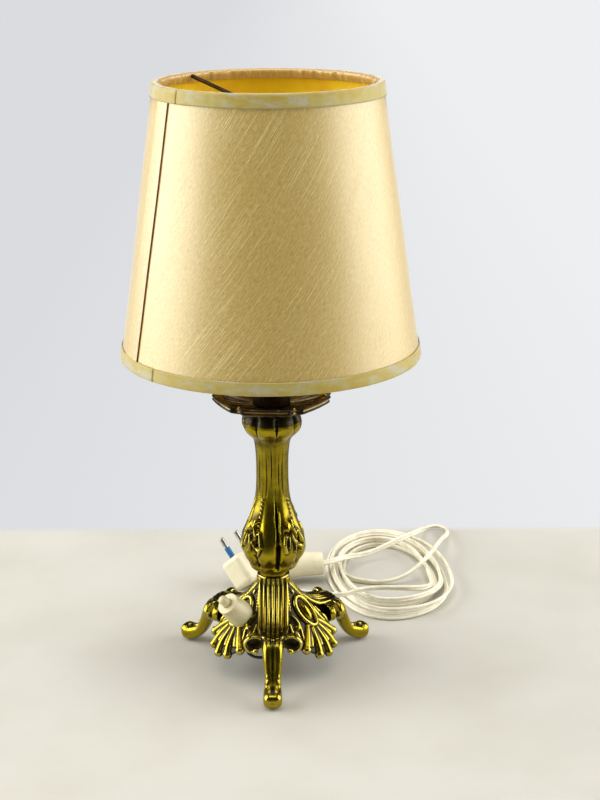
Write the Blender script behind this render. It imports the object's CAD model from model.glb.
"""Looks of a cast brass candlestick table lamp with a silk cone shade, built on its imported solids.

The file is laid out as a Blender add-on and is run as a script. Each operator makes one piece or one group
of pieces. Everything stands in the frame of the solids: +Z is up, the floor is z = 0, the column stands on
the Z axis and the viewer looks along +Y. Sizes in the tables are millimetres, meshes are metres.
"""

import math

import bpy
import numpy as np
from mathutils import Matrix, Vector


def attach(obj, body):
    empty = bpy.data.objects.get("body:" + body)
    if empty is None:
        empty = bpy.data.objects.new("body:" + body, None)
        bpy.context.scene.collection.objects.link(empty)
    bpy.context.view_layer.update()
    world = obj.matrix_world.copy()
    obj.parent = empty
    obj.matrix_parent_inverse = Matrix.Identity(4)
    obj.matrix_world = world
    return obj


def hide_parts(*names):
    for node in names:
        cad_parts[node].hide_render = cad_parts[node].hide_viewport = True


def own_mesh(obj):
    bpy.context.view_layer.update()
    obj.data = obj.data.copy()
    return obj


bl_info = {
    "name": "Brass candlestick lamp",
    "version": (1, 0, 0),
    "blender": (4, 5, 0),
    "location": "View3D > Sidebar > Lamp",
    "description": "Dresses the solids of a brass candlestick table lamp with a silk shade",
    "category": "Object",
}

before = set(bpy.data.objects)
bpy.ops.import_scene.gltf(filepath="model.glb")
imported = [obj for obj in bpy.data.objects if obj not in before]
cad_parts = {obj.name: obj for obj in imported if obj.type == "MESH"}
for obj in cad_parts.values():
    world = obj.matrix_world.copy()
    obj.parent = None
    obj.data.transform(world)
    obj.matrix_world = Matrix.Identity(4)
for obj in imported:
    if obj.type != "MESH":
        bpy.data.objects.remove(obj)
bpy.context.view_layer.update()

MM = 0.001
LEG_AZIMUTHS = (-90.0, 30.0, 150.0)


def linear(hex_colour):
    """Linear colour of an sRGB hex value."""
    channels = [int(hex_colour[k:k + 2], 16) / 255 for k in (0, 2, 4)]
    return tuple(c / 12.92 if c <= 0.04045 else ((c + 0.055) / 1.055) ** 2.4 for c in channels) + (1.0,)


# Sizes and colours that a user would change
class LampSizes(bpy.types.PropertyGroup):
    """Sizes of the dressed pieces."""

    casting_detail: bpy.props.FloatProperty(
        name="Casting detail", description="Finest detail kept in the base casting",
        default=0.55 * MM, unit="LENGTH")
    cord_width: bpy.props.FloatProperty(
        name="Cord width", description="Width of the flat twin flex", default=4.8 * MM, unit="LENGTH")
    cord_length: bpy.props.FloatProperty(
        name="Cord length", description="Length of the flex from the base to the plug",
        default=2.338, unit="LENGTH")
    silk_thickness: bpy.props.FloatProperty(
        name="Silk thickness", description="Thickness of the silk on the shade",
        default=0.4 * MM, unit="LENGTH")
    slub_length: bpy.props.FloatProperty(
        name="Slub length", description="Length of the thick places in the silk thread",
        default=60.0 * MM, unit="LENGTH")
    slub_width: bpy.props.FloatProperty(
        name="Slub width", description="Width of the thick places in the silk thread",
        default=0.6 * MM, unit="LENGTH")
    slub_angle: bpy.props.FloatProperty(
        name="Slub angle", description="Lean of the silk thread from the level",
        default=math.radians(57), subtype="ANGLE")


class LampColours(bpy.types.PropertyGroup):
    """Colours of the finishes."""

    brass: bpy.props.FloatVectorProperty(
        name="Brass", description="Polished high places of the castings", size=4, subtype="COLOR",
        default=linear("a28f10"))
    patina: bpy.props.FloatVectorProperty(
        name="Patina", description="Dark metal in the hollows of the castings", size=4, subtype="COLOR",
        default=linear("2c250f"))
    bronze: bpy.props.FloatVectorProperty(
        name="Bronze", description="Tarnished metal of the drip pan", size=4, subtype="COLOR",
        default=linear("a89058"))
    silk: bpy.props.FloatVectorProperty(
        name="Silk", description="Warm tan of the silk", size=4, subtype="COLOR", default=linear("b18b08"))
    hem: bpy.props.FloatVectorProperty(
        name="Hem", description="Pale doubled silk at the seam", size=4, subtype="COLOR",
        default=linear("a8851c"))
    trim: bpy.props.FloatVectorProperty(
        name="Trim", description="Pale braid on both rims", size=4, subtype="COLOR", default=linear("ad9c50"))
    lining: bpy.props.FloatVectorProperty(
        name="Lining", description="Gold inside of the shade", size=4, subtype="COLOR",
        default=linear("ffdc08"))
    cream: bpy.props.FloatVectorProperty(
        name="Cream", description="Moulded plastic of the plug", size=4, subtype="COLOR",
        default=linear("e2dab8"))
    flex: bpy.props.FloatVectorProperty(
        name="Flex", description="Sheath of the flat twin flex", size=4, subtype="COLOR",
        default=linear("e9e3cc"))
    floor: bpy.props.FloatVectorProperty(
        name="Floor", description="Pale floor", size=4, subtype="COLOR", default=linear("c2bfb4"))


def sizes():
    """The user's sizes."""
    return bpy.context.scene.lamp_sizes


def colours():
    """The user's colours."""
    return bpy.context.scene.lamp_colours


# Mesh tools
def smooth_curve(points, count):
    """Evenly counted points on a smooth curve through the given ones."""
    points = np.asarray(points, float)
    padded = np.vstack([2 * points[0] - points[1], points, 2 * points[-1] - points[-2]])
    span = np.linspace(0, len(points) - 1, count)
    index = np.minimum(span.astype(int), len(points) - 2)
    t = (span - index)[:, None]
    a, b, c, d = (padded[index + k] for k in range(4))
    return 0.5 * (2 * b + (c - a) * t + (2 * a - 5 * b + 4 * c - d) * t ** 2
                  + (3 * b - a - 3 * c + d) * t ** 3)


def loft(rings):
    """Closed skin through rings of points, with a face on each end."""
    count, sides = rings.shape[:2]
    index = np.arange(count * sides).reshape(count, sides)
    after = np.roll(index, -1, axis=1)
    quads = np.stack([index[:-1], after[:-1], after[1:], index[1:]], -1).reshape(-1, 4)
    return rings.reshape(-1, 3), quads.tolist() + [index[0][::-1].tolist(), index[-1].tolist()]


def directions(path):
    """Unit tangents along a path."""
    tangents = np.gradient(path, axis=0)
    return tangents / np.linalg.norm(tangents, axis=1)[:, None]


def run_along(path):
    """Length of a path from its start to each of its points."""
    return np.r_[0, np.cumsum(np.linalg.norm(np.diff(path, axis=0), axis=1))]


def carried_frames(path, first_side):
    """Side and lift directions along a path, carried on without twist."""
    tangents = directions(path)
    sides = np.empty_like(path)
    side = np.asarray(first_side, float)
    for k, tangent in enumerate(tangents):
        side = side - tangent * (side @ tangent)
        side /= np.linalg.norm(side)
        sides[k] = side
    return sides, np.cross(tangents, sides)


def bar(path, half_widths, half_heights, first_side, sides=12):
    """Bar of oval section along a path, with its own half width and half height at each point."""
    path = np.asarray(path, float)
    along, lift = carried_frames(path, first_side)
    turn = np.linspace(0, 2 * math.pi, sides, endpoint=False)
    widths = np.broadcast_to(half_widths, len(path))[:, None, None]
    heights = np.broadcast_to(half_heights, len(path))[:, None, None]
    return loft(path[:, None] + along[:, None] * np.cos(turn)[None, :, None] * widths
                + lift[:, None] * np.sin(turn)[None, :, None] * heights)


def ball(centre, axes):
    """Ellipsoid round a centre, from three half axes given as vectors."""
    polar = np.linspace(0.12, math.pi - 0.12, 8)[:, None]
    turn = np.linspace(0, 2 * math.pi, 14, endpoint=False)[None]
    a, b, c = (np.asarray(axis, float) for axis in axes)
    rings = ((np.sin(polar) * np.cos(turn))[..., None] * a + (np.sin(polar) * np.sin(turn))[..., None] * b
             + (np.cos(polar) * np.ones_like(turn))[..., None] * c)
    return loft(np.asarray(centre, float) + rings)


def turned(part, azimuth):
    """Copy of a part turned about the Z axis, in degrees."""
    c, s = math.cos(math.radians(azimuth)), math.sin(math.radians(azimuth))
    return np.asarray(part[0]) @ np.array([[c, s, 0], [-s, c, 0], [0, 0, 1]]), part[1]


def mirrored(part):
    """Copy of a part on the other side of the XZ plane."""
    return np.asarray(part[0]) * (1, -1, 1), [face[::-1] for face in part[1]]


def make_object(name, parts, body, *materials):
    """One object in metres from parts in millimetres, riding on a body."""
    points, faces, start = [], [], 0
    for part_points, part_faces in parts:
        points.append(np.asarray(part_points, float))
        faces += [[k + start for k in face] for face in part_faces]
        start += len(part_points)
    mesh = bpy.data.meshes.new(name)
    mesh.from_pydata((np.concatenate(points) * MM).tolist(), [], faces)
    mesh.validate()
    mesh.shade_smooth()
    for finish in materials:
        mesh.materials.append(finish)
    piece = bpy.data.objects.new(name, mesh)
    bpy.context.scene.collection.objects.link(piece)
    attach(piece, body)
    return piece


def stands_for(piece, slot, *nodes):
    """The piece takes the place of solids and the finish of their slot."""
    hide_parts(*nodes)


def relaxed(points, edges, rounds, share):
    """Points moved towards the mean of their neighbours, a number of rounds."""
    ends = np.concatenate([edges[:, 0], edges[:, 1]])
    others = np.concatenate([edges[:, 1], edges[:, 0]])
    count = np.maximum(np.bincount(ends, minlength=len(points)), 1)[:, None]
    for _ in range(rounds):
        mean = np.stack([np.bincount(ends, points[others, k], len(points)) for k in range(3)], 1) / count
        points = points + (mean - points) * share
    return points


def weld(piece, voxel):
    """Makes one skin of the overlapping parts of a casting and softens its edges."""
    modifier = piece.modifiers.new("skin", "REMESH")
    modifier.mode = "VOXEL"
    modifier.voxel_size = voxel
    modifier.use_smooth_shade = True
    bpy.context.view_layer.update()
    skin = bpy.data.meshes.new_from_object(piece.evaluated_get(bpy.context.evaluated_depsgraph_get()))
    piece.modifiers.clear()
    old = piece.data
    piece.data = skin
    bpy.data.meshes.remove(old)
    skin.name = piece.name
    points, edges = read_mesh(skin)
    skin.vertices.foreach_set("co", relaxed(points, edges, 2, 0.5).ravel())
    skin.update()
    skin.shade_smooth()


def read_mesh(mesh):
    """Points and edges of a mesh as arrays."""
    points = np.empty(len(mesh.vertices) * 3)
    mesh.vertices.foreach_get("co", points)
    edges = np.empty(len(mesh.edges) * 2, int)
    mesh.edges.foreach_get("vertices", edges)
    return points.reshape(-1, 3), edges.reshape(-1, 2)


def mark_recesses(piece, rounds, depth, ground=0.0):
    """Stores how far each point lies below its surroundings, for the patina: 1 is a deep hollow."""
    points, edges = read_mesh(piece.data)
    normals = np.empty(len(points) * 3)
    piece.data.vertices.foreach_get("normal", normals)
    normals = normals.reshape(-1, 3)
    near = np.sum((relaxed(points, edges, rounds, 0.7) - points) * normals, 1) / depth
    wide = np.sum((relaxed(points, edges, rounds * 5, 0.7) - points) * normals, 1) / (4 * depth)
    layer = piece.data.attributes.new("recess", "FLOAT", "POINT")
    layer.data.foreach_set("value", np.clip(np.maximum(0.5 + 0.5 * (near + wide), ground), 0, 1))


# Node tools
def add_node(tree, kind, inputs=None, **settings):
    """Adds a shader node with its settings, and gives each named input a value or a link."""
    node = tree.nodes.new(kind)
    for name, value in settings.items():
        setattr(node, name, value)
    for name, value in (inputs or {}).items():
        if isinstance(value, bpy.types.NodeSocket):
            tree.links.new(value, node.inputs[name])
        else:
            node.inputs[name].default_value = value
    return node


def new_material(name):
    """Empty node material."""
    finish = bpy.data.materials.new(name)
    finish.use_nodes = True
    finish.node_tree.nodes.clear()
    return finish, finish.node_tree


def object_place(tree):
    """Place on the piece in its own frame."""
    return add_node(tree, "ShaderNodeTexCoord").outputs["Object"]


def noise(tree, place, size, **inputs):
    """Cloudy pattern of about the given size."""
    return add_node(tree, "ShaderNodeTexNoise", {"Vector": place, "Scale": 1 / size, **inputs}).outputs["Fac"]


def ramp(tree, value, low, high, start=0.0, end=1.0, shape="LINEAR"):
    """Value that goes from start to end while another goes from low to high."""
    return add_node(tree, "ShaderNodeMapRange", {
        "Value": value, "From Min": low, "From Max": high, "To Min": start, "To Max": end},
        interpolation_type=shape).outputs[0]


def between(tree, share, first, second):
    """Colour between two others."""
    return add_node(tree, "ShaderNodeMix", {0: share, 6: first, 7: second}, data_type="RGBA").outputs[2]


def combined(tree, operation, *values):
    """Result of a calculation on values."""
    return add_node(tree, "ShaderNodeMath", dict(enumerate(values)), operation=operation).outputs[0]


def bump(tree, height, strength, depth):
    """Normal of a surface with a fine relief."""
    return add_node(tree, "ShaderNodeBump", {
        "Height": height, "Strength": strength, "Distance": depth}).outputs[0]


def surface(tree, inputs):
    """Adds the shader of a surface and its output."""
    shader = add_node(tree, "ShaderNodeBsdfPrincipled", inputs)
    add_node(tree, "ShaderNodeOutputMaterial", {"Surface": shader.outputs[0]})


def cast_brass(name, bright, dark, pale, low, high, polish, lacquer):
    """Sand cast brass, polished on the high places: hollows keep a dark patina, rubbed edges shine pale."""
    finish, tree = new_material(name)
    place = object_place(tree)
    recess = add_node(tree, "ShaderNodeAttribute", attribute_name="recess").outputs["Fac"]
    # Tarnish clouds about 9 mm across
    cloud = noise(tree, place, 9 * MM, Detail=4.0)
    # Casting grain, drawn at 0.9 mm so that it shows
    grain = noise(tree, place, 0.9 * MM)
    worn = combined(tree, "MULTIPLY_ADD", cloud, 0.34, recess)
    hollow = ramp(tree, worn, low, high, shape="SMOOTHSTEP")
    edge = ramp(tree, worn, low - 0.34, low - 0.04, shape="SMOOTHSTEP")
    surface(tree, {
        "Base Color": between(tree, hollow, between(tree, edge, pale, bright), dark), "Metallic": 1.0,
        "Roughness": ramp(tree, worn, low, high, polish, 0.5), "Normal": bump(tree, grain, 0.16, 0.3 * MM),
        "Coat Weight": lacquer, "Coat Roughness": 0.12})
    return finish


def metal(name, colour, stain, roughness, clouds):
    """Drawn, turned or pressed metal: an even sheen with faint stains and fine handling marks."""
    finish, tree = new_material(name)
    cloud = noise(tree, object_place(tree), clouds, Detail=5.0)
    surface(tree, {
        "Base Color": between(tree, ramp(tree, cloud, 0.42, 0.72), colour, stain), "Metallic": 1.0,
        "Roughness": ramp(tree, cloud, 0, 1, roughness, roughness + 0.25)})
    return finish


def moulding(name, colour, grime, roughness, grain):
    """Moulded plastic, card or ceramic: an even body colour, faint grime and a skin with a fine grain."""
    finish, tree = new_material(name)
    place = object_place(tree)
    cloud = noise(tree, place, 11 * MM, Detail=6.0)
    skin = noise(tree, place, grain)
    surface(tree, {
        "Base Color": between(tree, ramp(tree, cloud, 0.45, 0.8), colour, grime),
        "Roughness": ramp(tree, cloud, 0, 1, roughness - 0.06, roughness + 0.12),
        "Normal": bump(tree, skin, 0.1, 0.2 * MM), "IOR": 1.5})
    return finish


def blown_glass(name):
    """Thin clear blown glass: see-through, with a bright edge."""
    finish, tree = new_material(name)
    ripple = noise(tree, object_place(tree), 14 * MM)
    surface(tree, {
        "Base Color": linear("f4f4ef"), "Roughness": 0.02, "IOR": 1.5, "Transmission Weight": 1.0,
        "Normal": bump(tree, ripple, 0.04, 0.3 * MM)})
    return finish


def stretched(tree, vector, length, width):
    """Cloth map in units of a length along the thread and a width across it."""
    return add_node(tree, "ShaderNodeMapping", {
        "Vector": vector, "Scale": (1 / length, 1 / width, 1)}).outputs[0]


def slubbed_silk(name, colour, streak):
    """Hand woven dupion silk: a pale sheen towards the sides, a fine grain and long slubs that lean."""
    finish, tree = new_material(name)
    cloth = add_node(tree, "ShaderNodeUVMap", uv_map="cloth").outputs[0]
    lean = add_node(tree, "ShaderNodeMapping", {
        "Vector": cloth, "Rotation": (0, 0, -sizes().slub_angle)}).outputs[0]
    slub = noise(tree, stretched(tree, lean, sizes().slub_length, sizes().slub_width), 1.0)
    # Only the thickest threads stand out as slubs
    thick = ramp(tree, slub, 0.59, 0.8)
    # Threads are 0.3 mm apart, drawn as a grain of 0.9 mm so that they show
    rib = noise(tree, stretched(tree, lean, 3.2 * MM, 0.9 * MM), 1.0)
    bright = combined(tree, "ADD", ramp(tree, rib, 0.33, 0.67, 0.0, 0.42), thick)
    height = combined(tree, "MULTIPLY_ADD", thick, 2.4, rib)
    surface(tree, {
        "Base Color": between(tree, bright, colour, streak), "Roughness": 0.5, "IOR": 1.7,
        "Specular IOR Level": 1.0, "Specular Tint": linear("f8fbe6"),
        "Normal": bump(tree, height, 0.45, 0.3 * MM), "Sheen Weight": 1.0, "Sheen Roughness": 0.25,
        "Coat Weight": 1.0, "Coat Roughness": 0.45, "Coat IOR": 1.6})
    return finish


def stained_braid(name, colour):
    """Cotton braid glued over the rims: dull cross ribs, with grey and yellow stains along it."""
    finish, tree = new_material(name)
    cloth = add_node(tree, "ShaderNodeUVMap", uv_map="cloth").outputs[0]
    flat = add_node(tree, "ShaderNodeMapping", {"Vector": cloth, "Scale": (1, 2.2, 1)}).outputs[0]
    grey = noise(tree, flat, 13 * MM, Detail=3.0, Roughness=0.55)
    yellow = add_node(tree, "ShaderNodeTexNoise", {
        "Vector": flat, "Scale": 1 / (16 * MM), "Detail": 4.0, "W": 3.0},
        noise_dimensions="4D").outputs["Fac"]
    stained = between(tree, ramp(tree, grey, 0.48, 0.62, 0.0, 0.8), colour, linear("aba68c"))
    tint = between(tree, ramp(tree, yellow, 0.5, 0.6, 0.0, 0.85), stained, linear("ab9230"))
    # Cross ribs of the braid, 0.8 mm apart
    rib = add_node(tree, "ShaderNodeTexWave", {
        "Vector": cloth, "Scale": 0.314 / (0.8 * MM), "Distortion": 0.8}, bands_direction="X").outputs["Fac"]
    surface(tree, {
        "Base Color": tint, "Roughness": 0.6, "Normal": bump(tree, rib, 0.25, 0.2 * MM), "Sheen Weight": 0.8,
        "Sheen Roughness": 0.25})
    return finish


# Stage
class LAMP_OT_stage(bpy.types.Operator):
    """Make the camera, the floor, the lamps and the world."""

    bl_idname = "lamp.stage"
    bl_label = "Stage"

    def execute(self, context):
        scene = context.scene
        scene.view_settings.view_transform = "Standard"
        lens = bpy.data.cameras.new("camera")
        lens.sensor_width = 36.0
        lens.lens = 72.4
        camera = bpy.data.objects.new("camera", lens)
        camera.location = (0.0221, -1.094, 0.550)
        camera.rotation_euler = (math.radians(90 - 17.52), math.radians(0.3), 0)
        scene.collection.objects.link(camera)
        scene.camera = camera

        reach = 9.0
        corners = [(-reach, -reach, 0), (reach, -reach, 0), (reach, reach, 0), (-reach, reach, 0)]
        mesh = bpy.data.meshes.new("floor")
        mesh.from_pydata(corners, [], [(0, 1, 2, 3)])
        mesh.materials.append(self.board())
        floor = bpy.data.objects.new("floor", mesh)
        scene.collection.objects.link(floor)

        for name, place, aim, width, power in (
            ("soft_box_right", (1.30, 0.10, 0.50), (0, 0, 0.28), 1.5, 27.0),
            ("soft_box_left", (-1.30, 0.05, 0.50), (0, 0, 0.28), 1.5, 34.0),
            ("soft_box_top", (0.0, -0.1, 1.75), (0, 0, 0), 1.4, 19.0),
        ):
            light = bpy.data.lights.new(name, "AREA")
            light.size = width
            light.energy = power
            lamp = bpy.data.objects.new(name, light)
            lamp.location = place
            lamp.rotation_euler = (Vector(aim) - Vector(place)).to_track_quat("-Z", "Y").to_euler()
            scene.collection.objects.link(lamp)
        self.world(scene)
        return {"FINISHED"}

    def board(self):
        """Pale painted board: matt with faint patches near the lamp, an even pale surround further off."""
        finish, tree = new_material("pale_painted_board")
        place = object_place(tree)
        axes = add_node(tree, "ShaderNodeSeparateXYZ", {0: place}).outputs
        patch = ramp(tree, noise(tree, place, 0.11, Detail=5.0), 0.4, 0.75, 0.0, 0.6)
        shader = add_node(tree, "ShaderNodeBsdfPrincipled", {
            "Base Color": between(tree, patch, colours().floor, linear("b2aea0")), "Roughness": 0.75})
        wall = between(tree, ramp(tree, axes["X"], -0.35, 0.45), linear("dadcdf"), linear("eeeff1"))
        # Mirrors see a dimmer room than the eye does
        path = add_node(tree, "ShaderNodeLightPath").outputs
        surround = add_node(tree, "ShaderNodeEmission", {
            "Color": wall, "Strength": ramp(tree, path["Is Glossy Ray"], 0, 1, 1.0, 0.3)})
        # The surround starts behind the flex, and all round at about half a metre
        behind = ramp(tree, axes["Y"], 0.252, 0.268, shape="SMOOTHSTEP")
        distance = add_node(tree, "ShaderNodeVectorMath", {0: place}, operation="LENGTH").outputs["Value"]
        around = ramp(tree, distance, 0.42, 0.72, shape="SMOOTHSTEP")
        mixed = add_node(tree, "ShaderNodeMixShader", {
            0: combined(tree, "MAXIMUM", behind, around), 1: shader.outputs[0], 2: surround.outputs[0]})
        add_node(tree, "ShaderNodeOutputMaterial", {"Surface": mixed.outputs[0]})
        return finish

    def world(self, scene):
        """Even pale surround for the camera, a dim room for mirrors and soft light for the rest."""
        world = bpy.data.worlds.new("studio")
        world.use_nodes = True
        scene.world = world
        tree = world.node_tree
        tree.nodes.clear()
        path = add_node(tree, "ShaderNodeLightPath").outputs
        seen = combined(tree, "MAXIMUM", path["Is Camera Ray"], path["Is Transmission Ray"])
        mirror = ramp(tree, path["Is Glossy Ray"], 0, 1, 0.36, 0.05)
        strength = add_node(tree, "ShaderNodeMix", {0: seen, 2: mirror, 3: 0.85})
        surround = add_node(tree, "ShaderNodeBackground", {
            "Color": linear("f2f3f6"), "Strength": strength.outputs[0]})
        add_node(tree, "ShaderNodeOutputWorld", {"Surface": surround.outputs[0]})


# Flat twin flex with its coil
CORD_EXIT = (7.83, 44.42, 29.0)
CORD_EXIT_AZIMUTH = 80.0
LEAD_ROUTE = (
    (17.5, 66.0, 26.5), (29.0, 71.0, 22.5), (42.0, 74.0, 19.5), (54.0, 79.5, 17.0), (62.5, 89.0, 15.6),
    (72.0, 96.5, 14.6), (84.0, 100.0, 14.0), (97.0, 101.5, 13.0), (110.0, 103.5, 11.6), (120.0, 108.0, 9.8),
    (126.0, 114.5, 8.7), (127.75, 120.0, 8.3),
)
TAIL_ROUTE = (
    (55.75, 154.0, 2.7), (59.5, 146.0, 2.7), (67.5, 140.0, 2.7), (78.5, 136.5, 2.7), (91.0, 135.5, 3.2),
    (103.0, 137.5, 5.6), (113.5, 143.0, 9.8), (121.5, 152.0, 13.4), (128.0, 163.0, 14.8),
    (133.0, 175.5, 14.8), (137.5, 188.5, 14.8), (142.0, 202.0, 13.4), (146.0, 216.0, 10.4),
    (149.0, 229.5, 6.6), (151.0, 241.0, 3.8), (151.3, 250.0, 2.9), (148.4, 256.9, 2.7), (141.5, 259.8, 2.7),
    (134.6, 256.9, 3.0), (131.7, 249.0, 4.6), (130.0, 237.0, 9.0), (126.5, 224.5, 13.6),
    (119.5, 213.0, 15.2), (110.5, 204.0, 15.2), (100.5, 196.5, 13.6), (90.0, 190.5, 10.6),
    (79.5, 184.5, 8.6), (69.5, 176.5, 9.6), (61.0, 165.5, 13.4), (53.0, 155.0, 16.2),
)
PLUG_END = (38.0, 146.0, 15.7)
PLUG_AZIMUTH = 7.0


def coil_station(quarter):
    """Where the flex passes each side of the coil, and its heading there."""
    inset = abs(quarter - 12) / 4
    place, heading = (
        ((90, 242 - 12 * inset), (-1, 0)),
        ((40 + 7 * inset, 165), (0, -1)),
        ((90, 57 + 20 * inset), (1, 0)),
        ((148 - 9 * inset, 130), (0, 1)),
    )[quarter % 4]
    height = 5.5 if quarter == 12 else 8.3 if quarter < 12 else 2.7
    return np.array([*place, height], float), np.array([*heading, 0], float)


def cord_points():
    """Control points of the flex: out of the base, round the coil and on to the plug."""
    out, axis = (np.array([math.cos(math.radians(azimuth)), math.sin(math.radians(azimuth)), 0])
                 for azimuth in (CORD_EXIT_AZIMUTH, PLUG_AZIMUTH))
    points = [np.array(CORD_EXIT) - out * 9, np.array(CORD_EXIT) + out * 10.6]
    points += [np.array(p) for p in LEAD_ROUTE]
    for quarter in range(3, 21):
        start, heading = coil_station(quarter)
        end = coil_station(quarter + 1)[0]
        corner = start + heading * ((end - start) @ heading)
        hub = start + end - corner
        for turn in np.radians((0, 22.5, 45, 67.5)):
            point = hub + (start - hub) * math.cos(turn) + (end - hub) * math.sin(turn)
            point[2] = start[2] + (end[2] - start[2]) * turn * 2 / math.pi
            points.append(point)
    points.append(coil_station(21)[0])
    points += [np.array(p) for p in TAIL_ROUTE]
    points += [np.array(PLUG_END) + axis * 4, np.array(PLUG_END) - axis * 8]
    return np.array(points)


def nurbs_line(name, points, resolution):
    """Separate points along one smooth NURBS spline with the given control points, in metres."""
    curve = bpy.data.curves.new(name, "CURVE")
    curve.dimensions = "3D"
    spline = curve.splines.new("NURBS")
    spline.points.add(len(points) - 1)
    for target, point in zip(spline.points, points):
        target.co = (*(point * MM), 1.0)
    spline.order_u = 3
    spline.use_endpoint_u = True
    spline.resolution_u = resolution
    line = bpy.data.objects.new(name, curve)
    bpy.context.scene.collection.objects.link(line)
    bpy.context.view_layer.update()
    mesh = bpy.data.meshes.new_from_object(line.evaluated_get(bpy.context.evaluated_depsgraph_get()))
    path = read_mesh(mesh)[0]
    bpy.data.objects.remove(line)
    bpy.data.curves.remove(curve)
    bpy.data.meshes.remove(mesh)
    return path[np.r_[True, np.diff(run_along(path)) > 1e-6]]


class LAMP_OT_cord(bpy.types.Operator):
    """Make the flat twin flex with its coil, from the base to the plug."""

    bl_idname = "lamp.cord"
    bl_label = "Flex"

    def execute(self, context):
        path = nurbs_line("flex_line", cord_points(), 7)
        width = sizes().cord_width
        # Section of two round cores side by side
        core = width * 0.27
        spread = width / 2 - core
        arc = np.radians(np.linspace(-146, 146, 10))
        lobe = np.stack([spread + core * np.cos(arc), core * np.sin(arc)], 1)
        section = np.vstack([lobe, -lobe])
        tangents = directions(path)
        run = run_along(path)
        # The flat side mostly stands on edge, and rolls slowly along the flex
        roll = 0.5 * np.sin(run / 0.043) + 0.35 * np.sin(run / 0.017 + 1.0)
        upright = np.array([0, 0, 1.0]) - tangents * tangents[:, 2:]
        upright /= np.linalg.norm(upright, axis=1)[:, None]
        level = np.cross(tangents, upright)
        wide = upright * np.cos(roll)[:, None] + level * np.sin(roll)[:, None]
        thin = np.cross(tangents, wide)
        rings = path[:, None] + wide[:, None] * section[None, :, :1] + thin[:, None] * section[None, :, 1:]
        finish = moulding("cream_pvc_extruded", colours().flex, linear("cfc6a6"), 0.42, 3 * MM)
        flex = make_object("flex", [loft(rings / MM)], "stand", finish)
        stands_for(flex, "cream_flex", "cord_lead", "cord_coil", "cord_tail")
        return {"FINISHED"}


# Tripod base, with the seat and axis of the push switch
SWITCH_SEAT = (-23.52, -16.47, 45.2)
SWITCH_AXIS = (-0.5792, -0.4056, 0.7071)
SKIRT = smooth_curve((
    (11.7, 72.0), (11.7, 66.0), (13.6, 62.0), (17.0, 57.5), (21.4, 52.3), (28.0, 44.5), (33.6, 38.2),
    (38.8, 31.8), (43.4, 25.3), (46.0, 19.0), (46.6, 15.5),
), 120)
# Ridge from the neck out over the knee: reach and height
TONGUE = smooth_curve((
    (11.8, 70.4), (11.9, 66.0), (14.0, 61.4), (18.4, 55.8), (23.4, 50.4), (28.8, 46.0), (34.5, 43.6),
    (41.0, 43.0), (47.5, 43.0),
), 64)
TONGUE_HALF_WIDTH = 9.6
# Middle of the scroll on each side of a knee
SCROLL_ASIDE = 13.4
SCROLL_HEIGHT = 34.8
# Ribs of the ridge: distance from its middle, and the point of the ridge where each one ends
TONGUE_RIBS = ((0.0, 60), (-3.3, 59), (3.3, 59), (-6.5, 55), (6.5, 55))
# Reach, height, half thickness, half width, depth of the front groove and depth of the toe's hollow
LEG_STATIONS = smooth_curve((
    (36.0, 35.0, 6.0, 7.6, 0.0, 0.0), (45.0, 36.9, 5.8, 7.8, 0.0, 0.0), (51.4, 35.0, 5.7, 7.7, 0.8, 0.0),
    (55.6, 29.6, 5.2, 7.2, 1.7, 0.0), (58.6, 22.8, 4.6, 6.5, 1.8, 0.0), (61.4, 16.4, 4.3, 6.0, 1.0, 0.0),
    (65.4, 10.9, 4.6, 6.1, 0.2, 0.4), (70.0, 8.2, 5.6, 6.7, 0.0, 3.2), (74.0, 7.0, 6.2, 6.9, 0.0, 4.4),
    (77.4, 6.9, 6.4, 6.7, 0.0, 0.8), (80.2, 6.8, 5.0, 5.6, 0.0, 0.0), (81.9, 6.6, 1.8, 3.0, 0.0, 0.0),
), 84)


def skirt_radius(height):
    """Outer radius of the skirt at a height."""
    return np.interp(height, SKIRT[::-1, 1], SKIRT[::-1, 0])


def skirt_point(azimuth, height, lift):
    """Point on the outside of the skirt at an azimuth and height, lifted along the surface normal."""
    height = np.asarray(height, float)
    slope = skirt_radius(height + 0.5) - skirt_radius(height - 0.5)
    tilt = np.hypot(1, slope)
    radius = skirt_radius(height) + lift / tilt
    angle = np.radians(azimuth)
    return np.stack([radius * np.cos(angle), radius * np.sin(angle), height - lift * slope / tilt], -1)


def skirt_stroke(points, radii, lift):
    """Raised cord on the skirt through azimuths and heights."""
    points = smooth_curve(points, 40)
    path = skirt_point(points[:, 0], points[:, 1], lift)
    thickness = np.interp(np.linspace(0, 1, 40), np.linspace(0, 1, len(radii)), radii)
    return bar(path, thickness, thickness, (0, 0, 1))


def skirt_beads(points, radius, pitch):
    """Row of beads on the skirt through azimuths and heights."""
    points = smooth_curve(points, 200)
    path = skirt_point(points[:, 0], points[:, 1], radius * 0.35)
    run = run_along(path)
    marks = np.arange(pitch / 2, run[-1], pitch)
    return [ball([np.interp(mark, run, path[:, k]) for k in range(3)], np.eye(3) * radius) for mark in marks]


def skirt_boss(azimuth, height, half_width, half_height, rise):
    """Oval boss that lies on the skirt."""
    centre = skirt_point(azimuth, height, 0.0)
    up = skirt_point(azimuth, height + 0.5, 0.0) - skirt_point(azimuth, height - 0.5, 0.0)
    up /= np.linalg.norm(up)
    side = np.array([-math.sin(math.radians(azimuth)), math.cos(math.radians(azimuth)), 0])
    return ball(centre, (side * half_width, up * half_height, np.cross(side, up) * rise))


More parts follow.
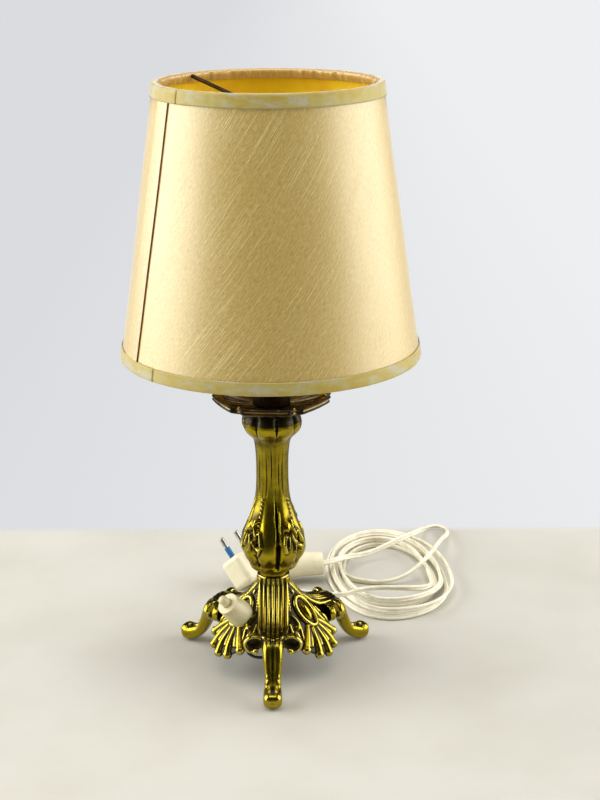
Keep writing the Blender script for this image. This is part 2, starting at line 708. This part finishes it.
def base_shell():
    """Hollow trumpet of the base, with a rim that rises beside each leg."""
    turn = np.linspace(0, 360, 240, endpoint=False)
    from_leg = np.min([np.abs((turn - leg + 180) % 360 - 180) for leg in LEG_AZIMUTHS], 0)
    rim = np.interp(from_leg, (0, 20, 34, 47, 60), (30, 29, 25, 19.5, 17.2))
    rings = [skirt_point(turn, np.maximum(level, rim), 0.0) for level in SKIRT[:, 1]]
    rings += [skirt_point(turn, np.maximum(level, rim + 0.2), -3.0) for level in SKIRT[::-1, 1] if level < 57]
    return loft(np.array(rings))


def seat(place, direction, radius, depth):
    """Round seat with a softened rim."""
    place, direction = np.array(place), np.array(direction)
    path = place + direction * np.array((-depth, -0.8, -0.2, 0.0))[:, None]
    widths = np.array((radius, radius, radius - 0.4, radius - 1.0))
    return bar(path, widths, widths, np.cross(direction, (0.1, 0.2, 1.0)), sides=48)


def tongue_line(sideways, first, last, lift):
    """Line along the tongue, sideways from its middle."""
    reach, height = TONGUE[first:last].T
    crown = np.clip((reach - 26) / 12, 0, 1) * (sideways / TONGUE_HALF_WIDTH) ** 2 * 1.6
    return np.stack([np.sqrt(reach ** 2 - sideways ** 2), np.full(len(reach), sideways),
                     height - crown + lift], 1)


def tongue_parts():
    """Ridge over one leg with its flutes and the raised border that closes round its end."""
    rings = []
    for reach, height in TONGUE[28:]:
        narrow = math.sqrt(max(1 - max(reach - 42, 0) ** 2 / 41, 0.1))
        side = np.linspace(-1, 1, 15) * TONGUE_HALF_WIDTH * narrow
        top = np.stack([np.sqrt(reach ** 2 - side ** 2), side,
                        height - 0.7 - 1.6 * (side / TONGUE_HALF_WIDTH) ** 2], 1)
        rings.append(np.vstack([top, top[::-1] - (0, 0, 8)]))
    parts = [loft(np.array(rings))]
    for sideways, last in TONGUE_RIBS:
        rib = tongue_line(sideways, 1, last, 0.0)
        width = np.interp(np.linspace(0, 1, len(rib)), (0, 0.3, 0.8, 1), (0.8, 1.1, 1.3, 0.5))
        parts.append(bar(rib, width, width, (0, 1, 0)))
    for side in (-1, 1):
        edge = tongue_line(side * TONGUE_HALF_WIDTH, 2, 56, 0.3)[::6]
        turn = ((47.2, side * 7.4, 41.9), (50.0, side * 4.0, 41.6), (51.4, side * 0.6, 41.0))
        edge = smooth_curve(np.vstack([edge, turn]), 70)
        width = np.interp(np.linspace(0, 1, 70), (0, 0.25, 0.7, 1), (0.9, 1.4, 1.6, 1.1))
        parts.append(bar(edge, width, width, (0, 1, 0)))
    return parts


def leg_parts():
    """One leg along +X: knee, grooved shin, upturned toe with its hollow, and the scrolls beside it."""
    thick, wide, groove, hollow = LEG_STATIONS.T[2:, :, None]
    path = np.stack([LEG_STATIONS[:, 0], np.zeros(len(LEG_STATIONS)), LEG_STATIONS[:, 1]], 1)
    lift = np.cross(directions(path), (0, 1, 0))
    turn = np.linspace(0, 2 * math.pi, 44, endpoint=False)
    across = (np.sign(np.cos(turn)) * np.abs(np.cos(turn)) ** 0.78)[None]
    up = (np.sign(np.sin(turn)) * np.abs(np.sin(turn)) ** 0.82)[None]
    front = np.sin(turn)[None] > 0
    sunk = front * (groove * np.exp(-(across / 0.34) ** 2) + hollow * np.exp(-(across / 0.48) ** 2))
    rings = (path[:, None] + np.array([0, 1.0, 0]) * (across * wide)[..., None]
             + lift[:, None] * (up * thick - sunk)[..., None])
    rings[..., 2] = np.maximum(rings[..., 2], 0.05)
    parts = [loft(rings)]
    for side in (-1, 1):
        # C scroll beside the knee: a thin raised line round a hollow, wound in to a bead
        t = np.linspace(0, 1, 60)
        angle = np.radians(205 - 310 * t)
        spread = np.interp(t, (0, 0.6, 1), (7.7, 7.2, 3.6))
        scroll = np.stack([46.0 + 1.6 * t, side * (SCROLL_ASIDE + spread * np.cos(angle)),
                           SCROLL_HEIGHT + spread * np.sin(angle)], 1)
        parts.append(bar(scroll, 2.6, 1.3, (1, 0, 0)))
        parts.append(ball(scroll[-1] + (1.4, 0, 0), np.eye(3) * 2.5))
        parts.append(seat((42.8, side * SCROLL_ASIDE, SCROLL_HEIGHT), (1, 0, 0), 6.4, 5.0))
        # Small leaves on the ankle
        for start, end in (((61.6, 0.9, 21.6), (64.6, 4.6, 18.4)), ((63.6, 0.9, 18.0), (67.2, 4.8, 14.6))):
            leaf = smooth_curve((np.array(start) * (1, side, 1), np.array(end) * (1, side, 1)), 10)
            parts.append(bar(leaf, np.linspace(1.1, 0.6, 10), np.linspace(1.1, 0.6, 10), (1, 0, 0)))
    return parts


def panel_parts():
    """Ornament of the skirt between one leg, at azimuth 0, and the middle of the panel at 60."""
    parts = skirt_beads(((53, 65.5), (43, 60), (35.5, 54.5), (30.5, 49.5)), 1.05, 2.4)
    # Curls between the beads and the volute, with a drop under them
    parts.append(skirt_stroke(((29, 47.5), (33.5, 45.0), (36.0, 41.0), (33.0, 38.8), (30.5, 40.5)),
                              (0.8, 1.3, 1.2, 1.0), 0.4))
    parts.append(skirt_boss(28.5, 34.5, 2.3, 5.2, 2.6))
    parts.append(skirt_stroke(((23.5, 42.5), (23.8, 37.5), (25.2, 32.0), (29.5, 28.5)),
                              (0.8, 1.1, 1.1, 0.7), 0.3))
    parts.append(skirt_stroke(((38.5, 43.5), (36.0, 37.0), (34.0, 31.0)), (0.6, 1.1, 0.8), 0.3))
    # Fan of ribs that end in knobs on the rim
    for step, knob in ((0, 18.4), (1, 20.4), (2, 26.0)):
        outer = 60 - 13 * step
        rib = ((60 - 5.0 * step, 38.0 + step), (60 - 9.2 * step, 30.5 + 1.6 * step), (outer, knob))
        parts.append(skirt_stroke(rib, (1.2, 2.2, 3.1), 0.1))
        parts.append(ball(skirt_point(outer, knob - 0.4, 0.3), np.eye(3) * 3.5))
    for step in (0.5, 1.5):
        ends = ((60 - 7 * step, 35.5 + step), (60 - 12.4 * step, 24.0 + 1.6 * step))
        parts.append(skirt_stroke(ends, (0.7, 1.5), 0.0))
    return parts


def panel_middle():
    """Oval cartouche with its pointed stone in the middle of a panel, at azimuth 60."""
    ring = np.linspace(0, 2 * math.pi, 49)
    height = 46.2 + 9.2 * np.sin(ring)
    azimuth = 60 + np.degrees(7.2 * np.cos(ring) / skirt_radius(height))
    return [bar(skirt_point(azimuth, height, 1.2), 1.5, 1.7, (0, 0, 1)), skirt_boss(60, 46.0, 3.6, 8.0, 3.6),
            skirt_boss(60, 59.5, 1.6, 2.8, 1.6)]


class LAMP_OT_base(bpy.types.Operator):
    """Make the ornamented tripod base casting."""

    bl_idname = "lamp.base"
    bl_label = "Base casting"

    def execute(self, context):
        half = panel_parts()
        third = leg_parts() + tongue_parts() + half + [mirrored(part) for part in half] + panel_middle()
        parts = [base_shell()]
        for azimuth in LEG_AZIMUTHS:
            parts += [turned(part, azimuth) for part in third]
        collar_radius = 11.1
        collar_height = 71.0
        ring = np.radians(np.linspace(0, 360, 97))
        collar = np.stack([collar_radius * np.cos(ring), collar_radius * np.sin(ring),
                           np.full(97, collar_height)], 1)
        parts.append(bar(collar, 1.0, 1.0, (0, 0, 1)))
        # Seats of the switch and of the cord bush
        parts.append(seat(SWITCH_SEAT, SWITCH_AXIS, 10.4, 6.0))
        parts.append(seat(CORD_EXIT, (0.1736, 0.9848, 0.0), 6.3, 8.0))
        finish = cast_brass("cast_brass_polished", colours().brass, colours().patina, linear("c4b558"),
                            0.5, 0.84, 0.2, 0.3)
        base = make_object("base", parts, "stand", finish)
        weld(base, sizes().casting_detail)
        # The ground of the panels and the inside keep their patina
        points = read_mesh(base.data)[0] / MM
        slope = skirt_radius(points[:, 2] + 0.5) - skirt_radius(points[:, 2] - 0.5)
        lift = (np.hypot(points[:, 0], points[:, 1]) - skirt_radius(points[:, 2])) / np.hypot(1, slope)
        ground = np.clip((1.1 - lift) / 0.8, 0, 1) * (points[:, 2] < 65)
        for azimuth in LEG_AZIMUTHS:
            local = turned((points, ()), -azimuth)[0]
            # So do the hollows of the scrolls
            hollow = np.hypot(np.abs(local[:, 1]) - SCROLL_ASIDE, local[:, 2] - SCROLL_HEIGHT) < 5.9
            ground = np.maximum(ground, hollow & (local[:, 0] > 36) & (local[:, 0] < 44))
            # And the bottom of each flute on the ridge over the leg
            lines = [sideways for sideways, last in TONGUE_RIBS] + [-TONGUE_HALF_WIDTH, TONGUE_HALF_WIDTH]
            from_rib = np.min([np.abs(local[:, 1] - line) for line in lines], 0)
            crest = np.interp(local[:, 0], TONGUE[:, 0], TONGUE[:, 1])
            flute = (np.abs(local[:, 1]) < TONGUE_HALF_WIDTH) & (local[:, 2] > crest - 4) & (local[:, 0] > 10)
            ground = np.maximum(ground, flute * np.clip((from_rib - 0.6) / 0.6, 0, 1))
        mark_recesses(base, 4, 0.25 * MM, 0.85 * ground)
        stands_for(base, "cast_brass", "base_casting")
        return {"FINISHED"}


# Column
COLUMN = smooth_curve((
    (9.9, 72.0), (9.9, 74.4), (11.2, 76.2), (16.4, 77.6), (18.4, 80.6), (19.4, 83.4), (22.2, 87.2),
    (24.0, 92.0), (24.1, 96.0), (23.2, 101.0), (21.2, 107.0), (18.3, 114.0), (15.6, 121.5), (13.4, 129.0),
    (12.2, 137.0), (11.8, 145.0), (11.8, 158.0), (12.1, 166.0), (12.6, 171.0), (13.3, 175.2), (15.2, 178.4),
    (17.9, 180.9), (20.2, 183.6), (21.5, 186.6), (21.7, 189.8), (20.9, 193.2), (19.1, 196.2), (17.5, 197.8),
    (17.6, 199.2), (17.0, 200.0),
), 400)
# The ornament repeats every quarter turn. Azimuths run from the front, to the right.
LOBE_AZIMUTH = -11.0
BEADED_VALLEY = -33.5
DEEP_VALLEY = 11.5
# Strokes on the column: half width, rise and the line of azimuths and heights
COLUMN_STROKES = (
    # Deep line that climbs from between two lobes, and the wavy edges beside it
    (2.4, -2.0, ((11.5, 82), (11, 90), (12.5, 99))),
    (1.5, -1.6, ((12.5, 99), (10.5, 110), (11.5, 124), (11, 141))),
    (1.0, 1.1, ((5.0, 102), (8, 111), (5.5, 120), (8, 132))),
    (1.0, 1.0, ((18.5, 103), (15, 111), (17.5, 120), (15, 130))),
    # Leaves over the beaded valley
    (2.3, 2.4, ((-42, 116.5), (-42, 117.4))),
    (1.8, 2.2, ((-43, 113.5), (-39, 110), (-36, 105.5))),
    (1.7, 2.1, ((-29, 109), (-25, 104.5), (-22, 100))),
    (1.7, 2.0, ((-40, 102.5), (-35, 99), (-30, 97.5))),
    (1.3, 1.6, ((-24, 98), (-28, 93.5))),
    (1.2, -1.3, ((-31, 107), (-29, 102), (-33, 100))),
    (1.0, -1.2, ((-36.5, 92), (-34, 88), (-34.5, 83))),
    # Boss on the next lobe, with leaves under it
    (3.2, 2.4, ((34, 113), (34, 114))),
    (1.2, -1.4, ((28, 109.5), (34, 108.2), (40, 109.5))),
    (1.4, 1.9, ((27, 107.5), (23.5, 102), (25, 96))),
    (1.2, 1.5, ((33.5, 106), (31.5, 99.5))),
    (1.4, 1.9, ((41, 107.5), (44.5, 102), (43, 96))),
    # Narrow grooves of the stem
    (0.8, -0.7, ((-21, 133), (-19.5, 150), (-20.5, 171))),
    (0.8, -0.7, ((-3, 143), (-1.5, 158), (-2.5, 173))),
    (0.7, -0.6, ((25, 137), (24, 152), (24.5, 168))),
    (0.8, -0.7, ((40, 134), (38.5, 150), (39, 172))),
)


class LAMP_OT_column(bpy.types.Operator):
    """Make the column casting: lobed baluster with leaves, grooved stem and lobed cup."""

    bl_idname = "lamp.column"
    bl_label = "Column casting"

    def execute(self, context):
        rows, columns = 360, 110
        run = run_along(COLUMN)
        even = np.linspace(0, run[-1], rows)
        radius = np.interp(even, run, COLUMN[:, 0])[:, None]
        height = np.interp(even, run, COLUMN[:, 1])[:, None]
        azimuth = np.linspace(-45, 45, columns, endpoint=False)[None]
        lobe = np.abs(np.cos(np.radians(4 * (azimuth - LOBE_AZIMUTH)))) ** 0.8
        sink = np.interp(height, (76, 80, 84, 90, 98, 106, 114, 124, 140, 165, 176, 183, 189, 195, 198),
                         (0, 0.7, 2.0, 3.0, 3.0, 2.2, 1.3, 0.6, 0.3, 0.3, 0.5, 1.5, 1.9, 1.0, 0))
        shape = radius - sink * (1 - lobe)
        strokes = list(COLUMN_STROKES)
        strokes += [(1.15, 1.3, ((BEADED_VALLEY, level), (BEADED_VALLEY, level + 0.2)))
                    for level in np.arange(108, 134, 3.0)]
        # Dark pointed notches between the lobes of the cup
        for valley in (BEADED_VALLEY, DEEP_VALLEY):
            strokes += [(width, -0.9, ((valley, level), (valley, level - 2)))
                        for level, width in ((197, 2.8), (194, 2.2), (191, 1.6), (188, 1.1), (185.5, 0.7))]
        # The patina is thickest in the grooves and close under the pan
        ground = np.broadcast_to(0.85 * np.clip((height - 186) / 6, 0, 1), shape.shape)
        for half_width, rise, points in strokes:
            mark = np.zeros_like(shape)
            # Long lines run out at their ends
            ends = 0.1 if abs(points[-1][1] - points[0][1]) > 20 else 1.0
            fade = np.interp(np.linspace(0, 1, 60), (0, 0.3, 0.7, 1), (ends, 1, 1, ends))
            for strength, (line_azimuth, line_height) in zip(fade, smooth_curve(points, 60)):
                away = np.radians((azimuth - line_azimuth + 45) % 90 - 45) * radius
                near = (away ** 2 + (height - line_height) ** 2) / half_width ** 2
                np.maximum(mark, strength * np.exp(-1.4 * near), out=mark)
            shape = shape + rise * mark
            if rise < 0:
                ground = np.maximum(ground, 0.95 * mark)
        turn = np.radians(np.concatenate([azimuth + 90 * k - 90 for k in range(4)], 1))
        shape = np.tile(shape, (1, 4))
        level = np.broadcast_to(height, shape.shape)
        points = np.stack([shape * np.cos(turn), shape * np.sin(turn), level], -1)
        finish = cast_brass("cast_brass_polished_column", colours().brass, colours().patina, linear("bfae4e"),
                            0.54, 0.88, 0.16, 0.15)
        column = make_object("column", [loft(points)], "stand", finish)
        mark_recesses(column, 5, 0.3 * MM, np.tile(ground, (1, 4)).ravel())
        stands_for(column, "cast_brass", "column_casting")
        return {"FINISHED"}


class LAMP_OT_pan(bpy.types.Operator):
    """Make the drip pan with its six broad petals."""

    bl_idname = "lamp.pan"
    bl_label = "Drip pan"

    def execute(self, context):
        bore_radius = 5.6
        turn = np.linspace(0, 360, 540, endpoint=False)
        petal = (turn + 95 + 30) % 60 - 30
        edge = 40.4 / np.cos(np.radians(petal * 0.8))
        edge = edge - 6.0 * np.clip((np.abs(petal) - 22.5) / 7.5, 0, 1) ** 1.6
        # Share of the reach, height and share of the ribs
        profile = smooth_curve((
            (0.0, 202.6, 0), (0.25, 202.8, 0.5), (0.5, 203.8, 1.0), (0.74, 205.8, 1.0), (0.87, 207.8, 0.7),
            (0.945, 209.4, 0.25), (0.98, 209.6, 0), (1.0, 208.7, 0), (0.975, 207.6, 0), (0.995, 206.5, 0),
            (0.975, 205.2, 0), (0.9, 204.0, 0.2), (0.7, 202.0, 0.3), (0.47, 200.4, 0.1), (0.3, 200.0, 0.0),
            (0.0, 200.0, 0),
        ), 120)
        reach, level, relief = profile.T
        # Five ribs on each petal, with a deeper line between petals
        rib = 0.75 * np.cos(np.radians(petal * 30)) - 1.4 * np.clip((np.abs(petal) - 24) / 6, 0, 1) - 0.3
        radius = bore_radius + reach[:, None] * (edge[None] - bore_radius)
        height = level[:, None] + relief[:, None] * rib[None]
        angle = np.radians(turn)[None]
        points = np.stack([radius * np.cos(angle), radius * np.sin(angle), height], -1)
        finish = cast_brass("cast_brass_tarnished", colours().bronze, linear("241c0e"), linear("d8cda0"),
                            0.5, 0.8, 0.28, 0.3)
        pan = make_object("pan", [loft(points)], "stand", finish)
        # The inside is dark between its ribs
        inside = (np.arange(len(reach)) < 60)[:, None] & (reach < 0.88)[:, None] & (rib < 0.1)[None]
        mark_recesses(pan, 6, 0.25 * MM, 0.55 * inside.ravel())
        stands_for(pan, "cast_brass", "drip_pan")
        return {"FINISHED"}


# Shade
SHADE_BOTTOM = 240.0
SHADE_TOP = 430.0
SHADE_BOTTOM_RADIUS = 105.0
SHADE_TOP_RADIUS = 77.5


def shade_radius(height):
    """Outer radius of the laminate cone at a height above the floor, in millimetres."""
    share = (np.asarray(height, float) - SHADE_BOTTOM) / (SHADE_TOP - SHADE_BOTTOM)
    return SHADE_BOTTOM_RADIUS - (SHADE_BOTTOM_RADIUS - SHADE_TOP_RADIUS) * share


def cloth_object(name, rings, turns, runs, body, *materials):
    """Closed strip of cloth from rings of points, with a cloth map in metres."""
    points, faces = loft(rings)
    piece = make_object(name, [(points, faces)], body, *materials)
    layer = piece.data.uv_layers.new(name="cloth")
    loops = np.empty(len(piece.data.loops), int)
    piece.data.loops.foreach_get("vertex_index", loops)
    flat = np.stack([np.asarray(turns, float).ravel(), np.asarray(runs, float).ravel()], 1) * MM
    layer.data.foreach_set("uv", flat[loops].ravel())
    return piece


class LAMP_OT_shade(bpy.types.Operator):
    """Make the silk, its lapped seam and the two stained trims of the shade."""

    bl_idname = "lamp.shade"
    bl_label = "Shade"

    def execute(self, context):
        silk = self.silk()
        top = self.trim("shade_trim_top", SHADE_TOP, 1)
        bottom = self.trim("shade_trim_bottom", SHADE_BOTTOM, -1)
        stands_for(silk, "silk", "shade_silk")
        stands_for(top, "trim", "top_trim")
        stands_for(bottom, "trim", "bottom_trim")
        return {"FINISHED"}

    def silk(self):
        """Silk from under its lapped seam once round to the folded hem that lies on top."""
        seam = np.linspace(-149.0, -143.0, 40)
        lap = 8.0
        hem = 7.6
        rows = 40
        # The cloth map is laid out at about the mean radius
        map_radius = 90.0
        level = np.linspace(SHADE_BOTTOM + 1, SHADE_TOP - 1, rows)
        # Steps round the shade, finer where the hem lies over the start
        steps = np.concatenate([
            np.linspace(0, 352, 300), np.linspace(352.5, 360 + lap - 0.6, 26), [360 + lap]])
        thickness = sizes().silk_thickness / MM
        outside, inside, flat_across, flat_up = [], [], [], []
        for step in steps:
            azimuth = np.radians(seam - lap + step)
            over = np.clip((step - 352) / 6, 0, 1)
            lift = 0.75 * over * over * (3 - 2 * over)
            # Slack in the silk between its glued edges
            slack = 0.12 * np.sin(azimuth * 7 + level / 23) * np.sin(np.pi * np.linspace(0, 1, rows))
            radius = shade_radius(level) + lift + slack
            for store, reach in ((outside, radius), (inside, radius - thickness)):
                store.append(np.stack([reach * np.cos(azimuth), reach * np.sin(azimuth), level], 1))
            flat_across.append(np.full(rows, np.radians(step) * map_radius))
            flat_up.append(level)
        # Each ring runs up the outside and down the inside of one slice of the cone
        rings = np.concatenate([np.array(outside), np.array(inside)[:, ::-1]], 1)
        across = np.concatenate([np.array(flat_across), np.array(flat_across)], 1)
        up = np.concatenate([np.array(flat_up), np.array(flat_up)[:, ::-1]], 1)
        body = slubbed_silk("dupion_silk_tan", colours().silk, linear("e4cb74"))
        pale = slubbed_silk("dupion_silk_hem", colours().hem, linear("dcc474"))
        edge = moulding("raw_silk_edge", linear("6d3d22"), linear("8a5a36"), 0.8, 1 * MM)
        silk = cloth_object("silk", rings, across, up, "shade", body, pale, edge)
        # The hem at the lapped end is doubled and paler, and its raw edge is brown
        sides = 2 * rows
        for face in silk.data.polygons:
            slot = face.vertices[0] // sides
            if steps[slot] > 360 + lap - hem:
                face.material_index = 1
            if slot >= len(steps) - 2 or len(face.vertices) > 4:
                face.material_index = 2
        return silk

    def trim(self, name, rim, way):
        """Braid folded over one rim: outside face, soft fold and a wrinkled edge inside."""
        steps = np.linspace(0, 364, 366)
        seed = 1.0 if way > 0 else 4.0
        section = smooth_curve((
            (0.95, -9.2), (1.0, -6.0), (0.95, -1.6), (0.5, -0.35), (-1.0, 0.0), (-2.6, -0.1), (-4.2, -0.7),
            (-4.9, -2.2), (-4.8, -4.2), (-4.0, -6.6), (-3.6, -6.4), (-4.3, -4.1), (-4.3, -2.4), (-3.8, -1.2),
            (-2.4, -0.6), (-0.9, -0.5), (0.2, -1.4), (0.3, -9.1),
        ), 52)
        rings, across, up = [], [], []
        for step in steps:
            azimuth = math.radians(-141.0 + step)
            over = np.clip((step - 358) / 3, 0, 1)
            wave = 0.22 * math.sin(azimuth * 23 + seed) + 0.18 * math.sin(azimuth * 57 + 2 * seed)
            wave += 0.14 * math.sin(azimuth * 97 + 3 * math.sin(azimuth * 11))
            inner = np.clip(-section[:, 0] / 4, 0, 1)
            offset = section[:, 0] + 0.3 * over + wave * (0.25 + 1.6 * inner)
            level = rim + way * (section[:, 1] + 0.2 * wave * np.clip(-section[:, 1] / 9, 0, 1))
            reach = shade_radius(level) + offset
            rings.append(np.stack([reach * math.cos(azimuth), reach * math.sin(azimuth), level], 1))
            across.append(np.full(len(section), math.radians(step) * shade_radius(rim)))
            up.append(section[:, 1] + (20 if way > 0 else 60) + 10 * inner)
        if way < 0:
            rings = [ring[::-1] for ring in rings]
            up = [run[::-1] for run in up]
        braid = stained_braid(name + "_cotton_braid", colours().trim)
        turned_in = slubbed_silk(name + "_silk_turned_in", linear("b8891c"), linear("e6c45a"))
        trim = cloth_object(name, np.array(rings), across, up, "shade", braid, turned_in)
        for face in trim.data.polygons:
            reach = math.hypot(face.center.x, face.center.y) / MM
            if reach < shade_radius(face.center.z / MM) - 1.2:
                face.material_index = 1
        return trim


# Wiring and fittings
LEAD_DIAMETER = 2.2
LEADS = (
    ("neutral_lead", 0.288, (
        (5.1, 35.8, 29.0), (3.5, 26.9, 29.0), (2.2, 14.0, 30.0), (1.4, 5.5, 36.5), (1.2, 0.0, 44.0),
        (1.2, 0.0, 281.6), (5.4, 0.0, 284.9), (5.4, 0.0, 289.2),
    )),
    ("switched_lead", 0.328, (
        (-13.2, -3.3, 29.2), (-10.7, -1.5, 26.1), (-18.0, -7.0, 18.5), (-20.5, -13.5, 13.0),
        (-13.5, -18.0, 10.8), (-4.5, -17.5, 11.0), (3.0, -12.0, 16.0), (2.5, -5.0, 27.0), (-1.2, 0.0, 39.0),
        (-1.2, 0.0, 281.6), (-5.4, 0.0, 284.9), (-5.4, 0.0, 289.2),
    )),
    ("live_lead", 0.054, (
        (7.4, 35.3, 29.0), (5.9, 26.5, 29.0), (2.5, 14.0, 23.0), (-1.5, 2.0, 21.0), (-3.5, -7.0, 22.5),
        (-5.1, -9.5, 26.1), (-7.6, -11.3, 29.2),
    )),
)


class LAMP_OT_leads(bpy.types.Operator):
    """Make the three insulated leads in the base and the tube."""

    bl_idname = "lamp.leads"
    bl_label = "Leads"

    def execute(self, context):
        finish = moulding("dark_pvc_lead", linear("2a2622"), linear("463f38"), 0.5, 1.2 * MM)
        for node, length, points in LEADS:
            path = nurbs_line(node + "_line", np.array(points), 12)
            half = LEAD_DIAMETER / 2
            lead = make_object(node + "_wire", [bar(path / MM, half, half, (1, 0.3, 0.2))], "stand", finish)
            stands_for(lead, "dark_lead", node)
        return {"FINISHED"}


# Spring of the push switch: depths along the switch from its seat
SPRING_FOOT = -17.7
SPRING_HEAD = -9.8
SPRING_TURNS = 5
SPRING_RADIUS = 3.0
SPRING_WIRE = 0.5


class LAMP_OT_spring(bpy.types.Operator):
    """Make the coil spring of the switch, which shortens as the button goes in."""

    bl_idname = "lamp.spring"
    bl_label = "Switch spring"

    def execute(self, context):
        axis = np.array(SWITCH_AXIS)
        side = np.cross(axis, (0, 0, 1))
        side /= np.linalg.norm(side)
        lift = np.cross(axis, side)
        turn = np.linspace(0, 2 * math.pi * SPRING_TURNS, 32 * SPRING_TURNS + 1)[:, None]
        depth = SPRING_FOOT + (SPRING_HEAD - SPRING_FOOT) * turn / turn[-1]
        path = SWITCH_SEAT + axis * depth + SPRING_RADIUS * (side * np.cos(turn) + lift * np.sin(turn))
        finish = metal("spring_steel_coil", linear("8b8b88"), linear("4e4d49"), 0.3, 4 * MM)
        coil = bar(path, SPRING_WIRE / 2, SPRING_WIRE / 2, SWITCH_AXIS, sides=10)
        spring = make_object("switch_coil_spring", [coil], "stand", finish)
        stands_for(spring, "spring_steel", "switch_spring")
        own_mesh(spring)
        return {"FINISHED"}


class LAMP_OT_fittings(bpy.types.Operator):
    """Give each fitting that keeps its solid the finish of its real material."""

    bl_idname = "lamp.fittings"
    bl_label = "Fittings"

    def execute(self, context):
        glass = blown_glass("clear_blown_glass")
        for node in ("bulb_glass", "bulb_mount"):
            self.cover(node, glass)
        # Kind of finish, its name, colour, stain, roughness, size of its pattern, and its nodes
        for make, name, colour, stain, roughness, pattern, nodes in (
            (moulding, "cream_urea_moulded", linear("dad0a4"), "bdb084", 0.35, 1.6,
             ("switch_nut", "switch_button", "switch_case", "cord_bush")),
            (moulding, "cream_pvc_moulded", colours().cream, "d2c8a6", 0.45, 1.2, ("plug_body",)),
            (metal, "pressed_brass", linear("c9a552"), "8d7232", 0.28, 6,
             ("lampholder_shell", "lampholder_contact", "bulb_cap", "bulb_tip", "terminal_screws",
              "switch_bridge", "switch_posts", "stem_nuts")),
            (metal, "nickel_plated_brass", linear("cfcfca"), "8f8f8a", 0.18, 7, ("plug_pins",)),
            (metal, "zinc_plated_steel", linear("a9aaa6"), "6b6a63", 0.35, 5, ("stem_tube", "base_washer")),
            (metal, "spring_steel_wire", linear("8b8b88"), "4e4d49", 0.3, 4, ("bulb_clip", "clip_ring")),
            (metal, "brown_lacquered_wire", linear("4a3a28"), "2a2019", 0.5, 5,
             ("shade_top_frame", "shade_bottom_ring")),
            (moulding, "black_phenolic_moulded", linear("191614"), "332c26", 0.4, 1.4, ("lampholder_body",)),
            (moulding, "glazed_porcelain", linear("e8e4da"), "cbc3b2", 0.25, 2.5,
             ("lampholder_insert", "bulb_insulator")),
            (metal, "bronzed_brass_tube", linear("3a2c1a"), "1e160d", 0.45, 8, ("candle_sleeve",)),
            (moulding, "blue_pvc_sleeve", linear("1f6ca6"), "174f7c", 0.4, 1.2, ("pin_sleeve",)),
            (moulding, "gold_styrene_lining", colours().lining, "fac206", 0.62, 2.2, ("shade_lining",)),
            (metal, "drawn_tungsten", linear("75736e"), "4a4845", 0.4, 2, ("bulb_filament",)),
        ):
            finish = make(name, colour, linear(stain), roughness, pattern * MM)
            for node in nodes:
                self.cover(node, finish)
        for node, width in (("plug_body", 1.2), ("switch_nut", 0.7), ("switch_button", 0.5)):
            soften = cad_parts[node].modifiers.new("soft_edges", "BEVEL")
            soften.width = width * MM
            soften.segments = 3
            soften.limit_method = "ANGLE"
            soften.angle_limit = math.radians(35)
        return {"FINISHED"}

    def cover(self, node, finish):
        """Gives one node its finish."""
        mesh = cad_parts[node].data
        mesh.materials.clear()
        mesh.materials.append(finish)


class LAMP_PT_panel(bpy.types.Panel):
    """Pieces of the lamp, in the order they are made."""

    bl_idname = "LAMP_PT_panel"
    bl_label = "Lamp"
    bl_space_type = "VIEW_3D"
    bl_region_type = "UI"
    bl_category = "Lamp"

    def draw(self, context):
        for operator in OPERATORS:
            self.layout.operator(operator.bl_idname)
        for name in LampSizes.__annotations__:
            self.layout.prop(context.scene.lamp_sizes, name)
        for name in LampColours.__annotations__:
            self.layout.prop(context.scene.lamp_colours, name)


OPERATORS = (
    LAMP_OT_stage, LAMP_OT_cord, LAMP_OT_base, LAMP_OT_column, LAMP_OT_pan, LAMP_OT_shade, LAMP_OT_leads,
    LAMP_OT_spring, LAMP_OT_fittings,
)
CLASSES = (LampSizes, LampColours) + OPERATORS + (LAMP_PT_panel,)


def register():
    """Registers the classes and the two groups of settings."""
    for item in CLASSES:
        bpy.utils.register_class(item)
    bpy.types.Scene.lamp_sizes = bpy.props.PointerProperty(type=LampSizes)
    bpy.types.Scene.lamp_colours = bpy.props.PointerProperty(type=LampColours)


def unregister():
    """Removes what register added."""
    del bpy.types.Scene.lamp_colours
    del bpy.types.Scene.lamp_sizes
    for item in reversed(CLASSES):
        bpy.utils.unregister_class(item)


def main():
    """Makes every piece in order."""
    register()
    bpy.ops.lamp.stage()
    bpy.ops.lamp.cord()
    bpy.ops.lamp.base()
    bpy.ops.lamp.column()
    bpy.ops.lamp.pan()
    bpy.ops.lamp.shade()
    bpy.ops.lamp.leads()
    bpy.ops.lamp.spring()
    bpy.ops.lamp.fittings()


if __name__ == "__main__":
    main()
